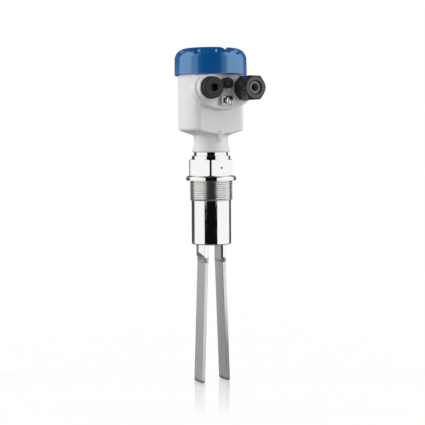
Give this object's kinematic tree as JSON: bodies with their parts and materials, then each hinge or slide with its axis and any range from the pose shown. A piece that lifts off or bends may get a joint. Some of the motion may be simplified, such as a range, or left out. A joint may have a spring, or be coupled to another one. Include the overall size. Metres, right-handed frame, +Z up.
{
  "type": "vibrating fork level switch",
  "caption": "Level switch with a flat-bladed tuning fork under a threaded steel fitting, a swivelling plastic housing with cable gland and blind plug, and a screwed lid.",
  "frame": {"origin": "on the axis of the process thread, at the sealing face under the collar", "axes": "+Z up along the axis, towards the lid; -Y is the front with the cable entries; the tines part along X"},
  "size_m": [0.079, 0.1005, 0.3654],
  "materials": {
    "polished_steel": "mirror-polished stainless steel",
    "satin_steel": "satin ground stainless steel",
    "ceramic": "fired ceramic",
    "brass": "bright brass sheet",
    "lead_sleeve": "soft lead sleeve",
    "black_rubber": "matte black rubber",
    "grey_rubber": "matte dark grey rubber",
    "grey_housing": "light grey moulded plastic",
    "black_plastic": "black moulded plastic",
    "terminal_metal": "plated terminal metal",
    "module_plastic": "dark blue potted insert",
    "terminal_plastic": "dark terminal plastic",
    "white_plastic": "white control plastic",
    "lamp_lens": "green lens",
    "blue_lid": "deep blue moulded plastic"
  },
  "bodies": {
    "process": {"process_fitting": "polished_steel", "sensor_tube": "polished_steel", "fork_membrane": "satin_steel", "tine_left": "satin_steel", "tine_right": "satin_steel", "drive_sleeve": "satin_steel", "piezo_rings": "ceramic", "electrode_plates": "brass", "insulating_washers": "ceramic", "drive_bolt": "satin_steel", "drive_nut": "satin_steel", "drive_lead": "lead_sleeve", "neck_seal": "black_rubber", "retaining_ring": "satin_steel"},
    "housing": {"housing": "grey_housing", "filter_element": "black_plastic", "gland_gasket": "black_rubber", "gland_body": "black_plastic", "ground_bracket": "terminal_metal", "electronics_module": "module_plastic", "terminal_block": "terminal_plastic", "terminal_screws": "terminal_metal", "signal_lamp": "lamp_lens", "module_screws": "terminal_metal"},
    "lid_seal": {"lid_seal": "black_rubber"},
    "lid": {"lid": "blue_lid"},
    "plug_seal": {"plug_seal": "black_rubber"},
    "blind_plug": {"blind_plug": "black_plastic"},
    "gland_insert": {"gland_insert": "grey_rubber"},
    "gland_nut": {"gland_nut": "black_plastic"},
    "ground_clamp": {"ground_clamp": "terminal_metal"},
    "ground_screw": {"ground_screw": "terminal_metal"},
    "mode_switch": {"mode_switch": "white_plastic"},
    "adjuster": {"adjuster": "white_plastic"}
  },
  "joints": [
    {"name": "housing_swivel", "type": "hinge", "parent": "process", "child": "housing", "pos_m": [0, 0, 0.04], "axis": [0, 0, 1], "range_deg": [-165, 165]},
    {"name": "lid_lift", "type": "slide", "parent": "housing", "child": "lid_seal", "axis": [0, 0, 1], "range_m": [0, 0.016]},
    {"name": "lid_turn", "type": "hinge", "parent": "lid_seal", "child": "lid", "pos_m": [0, 0, 0.12], "axis": [0, 0, 1], "range_deg": [0, 1445]},
    {"name": "plug_travel", "type": "slide", "parent": "housing", "child": "plug_seal", "axis": [0, -1, 0], "range_m": [0, 0.00975]},
    {"name": "plug_turn", "type": "hinge", "parent": "plug_seal", "child": "blind_plug", "pos_m": [-0.0205, -0.04, 0.0992], "axis": [0, -1, 0], "range_deg": [0, 2345]},
    {"name": "gland_travel", "type": "slide", "parent": "housing", "child": "gland_insert", "axis": [0, -1, 0], "range_m": [0, 0.006]},
    {"name": "gland_turn", "type": "hinge", "parent": "gland_insert", "child": "gland_nut", "pos_m": [0.0205, -0.05, 0.0992], "axis": [0, -1, 0], "range_deg": [0, 1445]},
    {"name": "earth_travel", "type": "slide", "parent": "housing", "child": "ground_clamp", "axis": [0, -1, 0], "range_m": [0, 0.0035]},
    {"name": "earth_turn", "type": "hinge", "parent": "ground_clamp", "child": "ground_screw", "pos_m": [0, -0.036, 0.086], "axis": [0, -1, 0], "range_deg": [0, 1805]},
    {"name": "mode_slide", "type": "slide", "parent": "housing", "child": "mode_switch", "axis": [1, 0, 0], "range_m": [0, 0.0025]},
    {"name": "adjuster_turn", "type": "hinge", "parent": "housing", "child": "adjuster", "pos_m": [0.013, -0.009, 0.085], "axis": [0, 0, 1], "range_deg": [-135, 135]}
  ],
  "couplings": [
    {"joint": "lid_turn", "follows": "lid_lift", "rad_per_m": 1570.8},
    {"joint": "plug_turn", "follows": "plug_travel", "rad_per_m": 4188.8},
    {"joint": "gland_turn", "follows": "gland_travel", "rad_per_m": 4188.8},
    {"joint": "earth_turn", "follows": "earth_travel", "rad_per_m": 8976}
  ]
}
